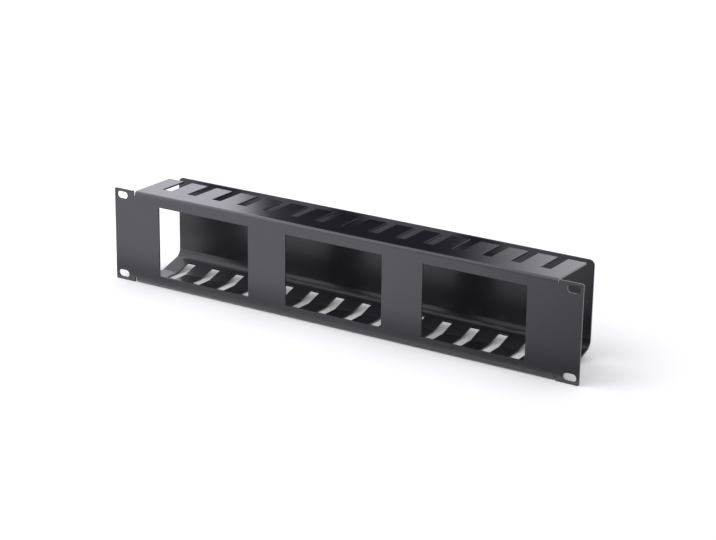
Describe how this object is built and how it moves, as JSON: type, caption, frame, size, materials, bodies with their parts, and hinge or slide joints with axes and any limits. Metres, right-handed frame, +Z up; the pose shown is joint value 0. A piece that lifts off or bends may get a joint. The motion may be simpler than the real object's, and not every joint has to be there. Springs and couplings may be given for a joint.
{
  "type": "horizontal cable manager",
  "caption": "Folded sheet-steel cable trough with a windowed rack front panel, a top comb of fingers and a slotted floor; it guides patch cables across a rack.",
  "frame": {"origin": "under the middle of the part, midway between the front panel's face and the rear wall's back, on the plane of the floor's underside", "axes": "+X along the rack's width, to the right as seen from the front; +Y from the front panel back into the rack; +Z up"},
  "size_m": [0.4826, 0.068, 0.0881],
  "materials": {
    "powder_coat": "charcoal powder coat, semi-gloss, fine texture"
  },
  "bodies": {
    "root": {"folded_sheet": "powder_coat"}
  },
  "joints": []
}
